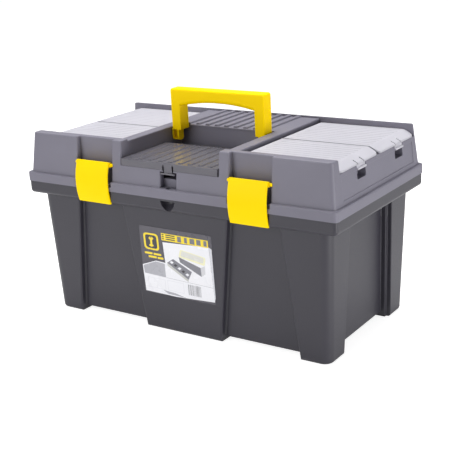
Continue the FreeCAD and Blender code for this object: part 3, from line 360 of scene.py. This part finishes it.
def moulded_plastic(name, colour, worn_and_lit, roughness, grain_size, grain_depth, tone=0.1,
                    wear_and_highlight=0.35, edge_band_width=0.0012, dust=0.1, corner_shade_amount=0.6, specular=0.4):
    material = bpy.data.materials.new(name)
    material.use_nodes = True
    tree = material.node_tree
    shader = tree.nodes["Principled BSDF"]
    grain = use_group(tree, mould_grain, {"Grain Size": grain_size, "Tone Size": 0.11})
    edges = use_group(tree, edge_wear_and_highlight, {"Width": edge_band_width, "Breakup Size": 0.03})
    dusty = use_group(tree, settled_dust, {"Patch Size": 0.06, "Amount": dust})
    darker = tuple(c * (1.0 - tone) for c in colour) + (1.0,)
    lighter = tuple(min(1.0, c * (1.0 + tone)) for c in colour) + (1.0,)
    base = mix_colour(tree, grain.outputs["Tone"], darker, lighter)
    # Edges are lightened towards the worn colour: partly rub wear, partly a painted highlight.
    share = add_node(tree, "ShaderNodeMath", {"operation": "MULTIPLY"},
                     {0: edges.outputs["Mask"], 1: wear_and_highlight}).outputs[0]
    rubbed_and_lit = mix_colour(tree, share, base, tuple(worn_and_lit) + (1.0,))
    powdered = mix_colour(tree, dusty.outputs["Mask"], rubbed_and_lit, DUST_GREY)
    # Painted shade: in corners and recesses the colour is mixed towards a darker copy of itself.
    corners = use_group(tree, painted_corner_shade, {"Reach": 0.012, "Breakup Size": 0.02})
    share = add_node(tree, "ShaderNodeMath", {"operation": "MULTIPLY"},
                     {0: corners.outputs["Mask"], 1: corner_shade_amount}).outputs[0]
    shaded_colour = tuple(c * 0.18 for c in colour) + (1.0,)
    final = mix_colour(tree, share, powdered, shaded_colour)
    tree.links.new(final, shader.inputs["Base Color"])
    gloss = add_node(tree, "ShaderNodeMapRange", {},
                     {"Value": grain.outputs["Fine"], "From Min": 0.3, "From Max": 0.7,
                      "To Min": roughness - 0.05, "To Max": roughness + 0.05})
    tree.links.new(gloss.outputs["Result"], shader.inputs["Roughness"])
    rounded = add_node(tree, "ShaderNodeBevel", {"samples": 4}, {"Radius": 0.0007})
    bump = add_node(tree, "ShaderNodeBump", {},
                    {"Strength": 0.5, "Distance": grain_depth,
                     "Height": grain.outputs["Height"], "Normal": rounded.outputs["Normal"]})
    tree.links.new(bump.outputs["Normal"], shader.inputs["Normal"])
    shader.inputs["Specular IOR Level"].default_value = specular
    return material


tub_grey = moulded_plastic("tub_grey", (0.0305, 0.0285, 0.0395), (0.12, 0.118, 0.145), 0.42,
                           0.0009, 0.0002, specular=0.5)
lid_grey = moulded_plastic("lid_grey", (0.166, 0.159, 0.2), (0.30, 0.29, 0.34), 0.48,
                           0.0009, 0.00015, corner_shade_amount=0.3)
tray_black = moulded_plastic("tray_black", (0.02, 0.02, 0.022), (0.1, 0.1, 0.11), 0.42,
                             0.0009, 0.00015)
signal_yellow = moulded_plastic("signal_yellow", (0.98, 0.67, 0.0), (1.0, 0.78, 0.02), 0.36,
                                0.0012, 0.0001, tone=0.03, wear_and_highlight=0.25, dust=0.005, corner_shade_amount=0.3,
                                specular=0.06)
divider_grey = moulded_plastic("divider_grey", (0.06, 0.06, 0.065), (0.2, 0.2, 0.2), 0.45,
                               0.0009, 0.00015)
print("plastics:", [m.name for m in (tub_grey, lid_grey, tray_black, signal_yellow, divider_grey)])


# %% [markdown]
# The covers are the same plastic without so much pigment. Light goes some way into them and
# comes out milky, so transmission with a high roughness stands for the cloud in the plastic.
# The smoked cover is dark and glossy on top, and the frosted ones are pale and dull.

# %% Frosted and smoked covers
def clouded_plastic(name, colour, deep, roughness, transmission, grain_size, grain_depth,
                    specular):
    material = bpy.data.materials.new(name)
    material.use_nodes = True
    tree = material.node_tree
    shader = tree.nodes["Principled BSDF"]
    grain = use_group(tree, mould_grain, {"Grain Size": grain_size, "Tone Size": 0.07})
    base = mix_colour(tree, grain.outputs["Tone"], tuple(deep) + (1.0,), tuple(colour) + (1.0,))
    tree.links.new(base, shader.inputs["Base Color"])
    gloss = add_node(tree, "ShaderNodeMapRange", {},
                     {"Value": grain.outputs["Fine"], "From Min": 0.3, "From Max": 0.7,
                      "To Min": roughness - 0.04, "To Max": roughness + 0.04})
    tree.links.new(gloss.outputs["Result"], shader.inputs["Roughness"])
    rounded = add_node(tree, "ShaderNodeBevel", {"samples": 4}, {"Radius": 0.0006})
    bump = add_node(tree, "ShaderNodeBump", {},
                    {"Strength": 0.4, "Distance": grain_depth,
                     "Height": grain.outputs["Height"], "Normal": rounded.outputs["Normal"]})
    tree.links.new(bump.outputs["Normal"], shader.inputs["Normal"])
    shader.inputs["Transmission Weight"].default_value = transmission
    shader.inputs["IOR"].default_value = 1.49
    shader.inputs["Specular IOR Level"].default_value = specular
    return material


frosted_cover = clouded_plastic("frosted_cover", (0.62, 0.61, 0.665), (0.555, 0.545, 0.60), 0.55,
                                0.25, 0.0011, 0.00012, specular=0.25)
smoked_cover = clouded_plastic("smoked_cover", (0.157, 0.15, 0.178), (0.115, 0.111, 0.132), 0.2,
                               0.2, 0.0013, 0.00004, specular=0.5)
print("covers:", frosted_cover.name, smoked_cover.name)


# %% Steel for the hinge pins
def drawn_steel(name):
    material = bpy.data.materials.new(name)
    material.use_nodes = True
    tree = material.node_tree
    shader = tree.nodes["Principled BSDF"]
    where = add_node(tree, "ShaderNodeTexCoord").outputs["Object"]
    stretched = add_node(tree, "ShaderNodeMapping", {},
                         {"Vector": where, "Scale": (60.0, 2500.0, 2500.0)})
    lines = add_node(tree, "ShaderNodeTexNoise", {},
                     {"Vector": stretched.outputs["Vector"], "Scale": 1.0})
    base = mix_colour(tree, lines.outputs["Fac"], (0.35, 0.35, 0.36, 1.0), (0.62, 0.62, 0.64, 1.0))
    tree.links.new(base, shader.inputs["Base Color"])
    gloss = add_node(tree, "ShaderNodeMapRange", {},
                     {"Value": lines.outputs["Fac"], "To Min": 0.22, "To Max": 0.42})
    tree.links.new(gloss.outputs["Result"], shader.inputs["Roughness"])
    bump = add_node(tree, "ShaderNodeBump", {}, {"Strength": 0.3, "Distance": 0.00005,
                                                 "Height": lines.outputs["Fac"]})
    tree.links.new(bump.outputs["Normal"], shader.inputs["Normal"])
    shader.inputs["Metallic"].default_value = 1.0
    return material


pin_steel = drawn_steel("pin_steel")

# %% Give each node its finish
FINISHES = {
    "tub_shell": tub_grey, "lid_shell": lid_grey, "tray_shell": tray_black,
    "handle": signal_yellow, "latch_left": signal_yellow, "latch_right": signal_yellow,
    "centre_cover": smoked_cover, "hinge_pin_left": pin_steel, "hinge_pin_right": pin_steel,
}
for name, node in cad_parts.items():
    if name.startswith("bin_cover"):
        finish = frosted_cover
    elif "divider" in name:
        finish = divider_grey
    else:
        finish = FINISHES.get(name, lid_grey)
    node.data.materials.clear()
    node.data.materials.append(finish)
print("finished nodes:", len(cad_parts))

# %% [markdown]
# The sticker on the front is a printed film. It could be one flat face with a picture on it, but
# that needs an image file. Instead each printed area is a thin patch of its own, lying a few
# hundredths of a millimetre proud of the film, and a colour attribute on the mesh says what ink
# each patch has. The print is a made-up design: a plain badge, bars where words would be, and a
# small drawing of an open box with its tray. Positions are given as shares of the film's width
# and height, so the design follows the film wherever it is.

# %% The film and its printed areas
import bmesh

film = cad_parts["front_label"].data
film_low, film_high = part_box("front_label")
foot_y = min(v.co.y for v in film.vertices if v.co.z < film_low[2] + 1e-4)
head_y = min(v.co.y for v in film.vertices if v.co.z > film_high[2] - 1e-4)
film_width = film_high[0] - film_low[0]
film_height = film_high[2] - film_low[2]
LEAN = math.atan2(foot_y - head_y, film_height)


def on_film(u, v, proud=0.0):
    """The point at a share of the film's width from its left and of its height from its top."""
    z = film_high[2] - v * film_height
    y = head_y + (foot_y - head_y) * v - proud
    return Vector((film_low[0] + u * film_width, y, z))


def round_corners(points, radius, steps=4):
    """The outline with each corner swapped for a short curve."""
    result = []
    for i, corner in enumerate(points):
        corner = Vector(corner)
        before = Vector(points[i - 1])
        after = Vector(points[(i + 1) % len(points)])
        start = corner + (before - corner).normalized() * radius
        stop = corner + (after - corner).normalized() * radius
        for k in range(steps + 1):
            t = k / steps
            result.append((1 - t) ** 2 * start + 2 * t * (1 - t) * corner + t ** 2 * stop)
    return result


def lay_patch(bm, inks, outline, ink, proud, back=-0.00015):
    """A closed patch of ink: outline in film shares, with its front a little proud."""
    turning = sum(u * after[1] - after[0] * v
                  for (u, v), after in zip(outline, outline[1:] + outline[:1]))
    if turning > 0:
        outline = outline[::-1]  # so that the front faces away from the film
    front = [bm.verts.new(on_film(u, v, proud)) for u, v in outline]
    rear = [bm.verts.new(on_film(u, v, back)) for u, v in outline]
    faces = [bm.faces.new(front), bm.faces.new(list(reversed(rear)))]
    for i in range(len(outline)):
        j = (i + 1) % len(outline)
        faces.append(bm.faces.new((front[j], front[i], rear[i], rear[j])))
    for face in faces:
        inks[face] = ink


FILM = (0.085, 0.08, 0.098)
YELLOW = (0.86, 0.66, 0.03)
PALE_YELLOW = (0.80, 0.78, 0.50)
WHITE = (0.80, 0.80, 0.84)
SILVER = (0.40, 0.40, 0.44)
GREY = (0.20, 0.20, 0.23)
DARK = (0.045, 0.043, 0.05)
# A painted highlight for the right edge of the film.
PAINTED_EDGE_HIGHLIGHT = (0.62, 0.62, 0.67)
FRAME_GREY = (0.70, 0.70, 0.75)
LINER_GREY = (0.66, 0.66, 0.62)
BOX_END_GREY = (0.60, 0.60, 0.63)
TRAY_EDGE_GREY = (0.52, 0.52, 0.50)

# How far each layer of ink stands proud of the film, in metres, so that later ones cover others.
GROUND, SHAPE, FIGURE, DETAIL, LINING, OBJECT, MARK = (
    0.00002, 0.00003, 0.00004, 0.00005, 0.00006, 0.00008, 0.0001)
print("film lean in degrees:", round(math.degrees(LEAN), 2))


# %% Lay the print
def block(u0, v0, u1, v1, slant=0.0):
    """An outline with upright sides, lower by the slant at its right-hand end."""
    return [(u0, v0), (u0, v1), (u1, v1 + slant), (u1, v0 + slant)]


def make_print():
    """All the printed areas, as one mesh with the ink of each in a colour attribute."""
    bm = bmesh.new()
    inks = {}
    lay_patch(bm, inks, round_corners(block(0, 0, 1, 1), 0.03), FILM, 0.0, back=-0.00025)
    # The white field, the grey area beside it, and a painted highlight down the film's right edge.
    lay_patch(bm, inks, [(0.0, 0.59), (0.015, 0.985), (0.45, 0.995), (0.985, 0.965),
                         (0.955, 0.17), (0.32, 0.205), (0.335, 0.51), (0.2, 0.50)],
              WHITE, GROUND)
    lay_patch(bm, inks, [(0.012, 0.60), (0.02, 0.715), (0.325, 0.73), (0.322, 0.525),
                         (0.2, 0.512)], SILVER, FIGURE)
    lay_patch(bm, inks, [(0.957, 0.17), (0.985, 0.95), (0.998, 0.90), (0.992, 0.19)],
              PAINTED_EDGE_HIGHLIGHT, SHAPE)
    # A badge with a spanner, and bars where a name would be.
    lay_patch(bm, inks, round_corners([(0.05, 0.10), (0.055, 0.34), (0.265, 0.35),
                                       (0.26, 0.10)], 0.05), YELLOW, SHAPE)
    lay_patch(bm, inks, round_corners([(0.075, 0.125), (0.08, 0.318), (0.24, 0.325),
                                       (0.235, 0.126)], 0.04), DARK, FIGURE)
    spanner = [(-0.011, -0.075), (-0.036, -0.045), (-0.014, -0.02), (-0.014, 0.035),
               (-0.038, 0.06), (-0.002, 0.08), (0.036, 0.06), (0.014, 0.035), (0.014, -0.02),
               (0.036, -0.045), (0.012, -0.075), (0.0, -0.047)]
    lay_patch(bm, inks, round_corners([(0.158 + u, 0.222 + v) for u, v in spanner], 0.004),
              YELLOW, LINING)
    for u0, u1, v0 in ((0.05, 0.16, 0.385), (0.175, 0.285, 0.388), (0.10, 0.215, 0.435),
                       (0.23, 0.31, 0.438)):
        lay_patch(bm, inks, round_corners(block(u0, v0, u1, v0 + 0.03), 0.006), YELLOW, SHAPE)
    # The strip above the white field.
    lay_patch(bm, inks, block(0.31, 0.07, 0.95, 0.175, 0.005), YELLOW, SHAPE)
    for u0, u1 in ((0.32, 0.345), (0.37, 0.50)):
        for k in range(3):
            lay_patch(bm, inks, block(u0, 0.083 + 0.03 * k, u1, 0.098 + 0.03 * k), DARK, DETAIL)
    # The open box, seen from one side: its lid, its body, and the tray in front of it.
    lay_patch(bm, inks, round_corners([(0.56, 0.27), (0.53, 0.385), (0.885, 0.45), (0.90, 0.33)],
                                      0.02), PALE_YELLOW, FIGURE)
    lay_patch(bm, inks, round_corners([(0.58, 0.285), (0.558, 0.365), (0.865, 0.42),
                                       (0.878, 0.338)], 0.015), LINER_GREY, LINING)
    lay_patch(bm, inks, [(0.53, 0.385), (0.545, 0.46), (0.83, 0.62), (0.825, 0.49)],
              GREY, DETAIL)
    lay_patch(bm, inks, [(0.825, 0.49), (0.83, 0.62), (0.885, 0.57), (0.885, 0.45)],
              BOX_END_GREY, DETAIL)
    lay_patch(bm, inks, [(0.36, 0.50), (0.645, 0.70), (0.70, 0.575), (0.45, 0.43)],
              GREY, OBJECT)
    lay_patch(bm, inks, [(0.36, 0.50), (0.365, 0.545), (0.64, 0.735), (0.645, 0.70)],
              TRAY_EDGE_GREY, OBJECT)
    for k in range(5):
        u, v = 0.425 + 0.052 * k, 0.485 + 0.036 * k
        lay_patch(bm, inks, [(u - 0.028, v), (u, v - 0.022), (u + 0.03, v - 0.004),
                             (u + 0.002, v + 0.022)], DARK if k % 2 else WHITE, MARK)
    # The lower strip: a fold line, two framed boxes and the field for the bars.
    lay_patch(bm, inks, [(0.33, 0.728), (0.33, 0.733), (0.975, 0.757), (0.975, 0.752)],
              SILVER, FIGURE)
    for u0, u1 in ((0.06, 0.31), (0.34, 0.57)):
        lay_patch(bm, inks, block(u0, 0.765, u1, 0.92, 0.004), FRAME_GREY, FIGURE)
        lay_patch(bm, inks, block(u0 + 0.006, 0.771, u1 - 0.006, 0.914, 0.004), WHITE, LINING)
    lay_patch(bm, inks, [(0.27, 0.93), (0.34, 0.975), (0.60, 0.985), (0.44, 0.945)],
              SILVER, FIGURE)
    for face in bm.faces:
        face.smooth = False
    bm.normal_update()
    mesh = bpy.data.meshes.new("front_print")
    order = [inks[face] for face in bm.faces]
    bm.to_mesh(mesh)
    bm.free()
    ink = mesh.color_attributes.new("ink", "FLOAT_COLOR", "CORNER")
    for polygon, colour in zip(mesh.polygons, order):
        for loop in polygon.loop_indices:
            ink.data[loop].color = colour + (1.0,)
    piece = bpy.data.objects.new("front_print", mesh)
    scene.collection.objects.link(piece)
    return piece


front_print = make_print()
print("printed faces:", len(front_print.data.polygons))


# %% The inks
def printed_film(name, roughness, source=None, colour=None):
    material = bpy.data.materials.new(name)
    material.use_nodes = True
    tree = material.node_tree
    shader = tree.nodes["Principled BSDF"]
    grain = use_group(tree, mould_grain, {"Grain Size": 0.0007, "Tone Size": 0.03})
    if source:
        base = add_node(tree, "ShaderNodeAttribute", {"attribute_name": source}).outputs["Color"]
    else:
        base = mix_colour(tree, grain.outputs["Tone"], tuple(c * 0.8 for c in colour) + (1.0,),
                          tuple(colour) + (1.0,))
    speck = add_node(tree, "ShaderNodeMapRange", {},
                     {"Value": grain.outputs["Fine"], "From Min": 0.55, "From Max": 0.75,
                      "To Min": 0.0, "To Max": 0.18})
    printed = mix_colour(tree, speck.outputs["Result"], base, (0.30, 0.30, 0.33, 1.0))
    tree.links.new(printed, shader.inputs["Base Color"])
    gloss = add_node(tree, "ShaderNodeMapRange", {},
                     {"Value": grain.outputs["Tone"], "From Min": 0.3, "From Max": 0.7,
                      "To Min": roughness - 0.06, "To Max": roughness + 0.08})
    tree.links.new(gloss.outputs["Result"], shader.inputs["Roughness"])
    ripple = add_node(tree, "ShaderNodeBump", {},
                      {"Strength": 0.35, "Distance": 0.0004, "Height": grain.outputs["Tone"]})
    tree.links.new(ripple.outputs["Normal"], shader.inputs["Normal"])
    shader.inputs["Specular IOR Level"].default_value = 0.5
    return material


label_print = printed_film("label_print", 0.24, source="ink")
label_ink = printed_film("label_ink", 0.3, colour=(0.19, 0.19, 0.21))
front_print.data.materials.append(label_print)

# %% [markdown]
# The bars and the small signs on the yellow strip are each one shape repeated in a row. That is
# what Geometry Nodes are for: a line of points, one small mark on each point, a seed that
# varies their widths, and then one mesh. Both rows use the same tree with other numbers.

# %% A tree for rows of marks
def make_mark_row_tree():
    tree = bpy.data.node_groups.new("mark_row", "GeometryNodeTree")
    face = tree.interface
    face.new_socket("Geometry", in_out="INPUT", socket_type="NodeSocketGeometry")
    for name, kind in (("First", "NodeSocketVector"), ("Step", "NodeSocketVector"),
                       ("Count", "NodeSocketInt"), ("Mark Size", "NodeSocketVector"),
                       ("Width Spread", "NodeSocketFloat"), ("Lean", "NodeSocketFloat"),
                       ("Seed", "NodeSocketInt"), ("Ink", "NodeSocketMaterial")):
        face.new_socket(name, in_out="INPUT", socket_type=kind)
    face.new_socket("Geometry", in_out="OUTPUT", socket_type="NodeSocketGeometry")
    given, result = tree.nodes.new("NodeGroupInput"), tree.nodes.new("NodeGroupOutput")
    line = add_node(tree, "GeometryNodeMeshLine", {"mode": "OFFSET"},
                    {"Count": given.outputs["Count"], "Start Location": given.outputs["First"],
                     "Offset": given.outputs["Step"]})
    mark = add_node(tree, "GeometryNodeMeshCube", {}, {"Size": given.outputs["Mark Size"]})
    least = add_node(tree, "ShaderNodeMath", {"operation": "SUBTRACT"},
                     {0: 1.0, 1: given.outputs["Width Spread"]})
    width = tree.nodes.new("FunctionNodeRandomValue")
    width.data_type = "FLOAT"
    sockets = {socket.identifier: socket for socket in width.inputs}
    tree.links.new(least.outputs[0], sockets["Min_001"])
    sockets["Max_001"].default_value = 1.0
    tree.links.new(given.outputs["Seed"], sockets["Seed"])
    chosen = next(s for s in width.outputs if s.identifier == "Value_001")
    scale = add_node(tree, "ShaderNodeCombineXYZ", {}, {"X": chosen, "Y": 1.0, "Z": 1.0})
    turn = add_node(tree, "ShaderNodeCombineXYZ", {}, {"X": given.outputs["Lean"]})
    row = add_node(tree, "GeometryNodeInstanceOnPoints", {},
                   {"Points": line.outputs["Mesh"], "Instance": mark.outputs["Mesh"],
                    "Rotation": turn.outputs["Vector"], "Scale": scale.outputs["Vector"]})
    real = add_node(tree, "GeometryNodeRealizeInstances", {}, {"Geometry": row.outputs["Instances"]})
    inked = add_node(tree, "GeometryNodeSetMaterial", {},
                     {"Geometry": real.outputs["Geometry"], "Material": given.outputs["Ink"]})
    tree.links.new(inked.outputs["Geometry"], result.inputs["Geometry"])
    return tree


mark_row = make_mark_row_tree()


def run_tree(name, tree, values):
    """Run a tree on an empty object and keep the result as a plain mesh."""
    holder = bpy.data.objects.new(name, bpy.data.meshes.new(name))
    scene.collection.objects.link(holder)
    modifier = holder.modifiers.new("marks", "NODES")
    modifier.node_group = tree
    for item in tree.interface.items_tree:
        if item.in_out == "INPUT" and item.name in values:
            modifier[item.identifier] = values[item.name]
    seen = holder.evaluated_get(bpy.context.evaluated_depsgraph_get())
    mesh = bpy.data.meshes.new_from_object(seen)
    holder.modifiers.remove(modifier)
    holder.data = mesh
    return holder


INK_PROUD = 0.00009
label_bars = run_tree("label_bars", mark_row, {
    "First": on_film(0.635, 0.85, INK_PROUD - 0.0001), "Step": (0.0021, 0.0, 0.0),
    "Count": 12, "Mark Size": (0.0014, 0.0002, 0.018), "Width Spread": 0.75, "Lean": LEAN,
    "Seed": 4, "Ink": label_ink})
label_signs = run_tree("label_signs", mark_row, {
    "First": on_film(0.56, 0.125, INK_PROUD - 0.0001), "Step": (0.0122, 0.0, 0.0),
    "Count": 5, "Mark Size": (0.009, 0.0002, 0.009), "Width Spread": 0.4, "Lean": LEAN,
    "Seed": 9, "Ink": label_ink})
for piece in (front_print, label_bars, label_signs):
    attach(piece, "tub")
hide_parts("front_label")
print("marks:", len(label_bars.data.polygons), len(label_signs.data.polygons))
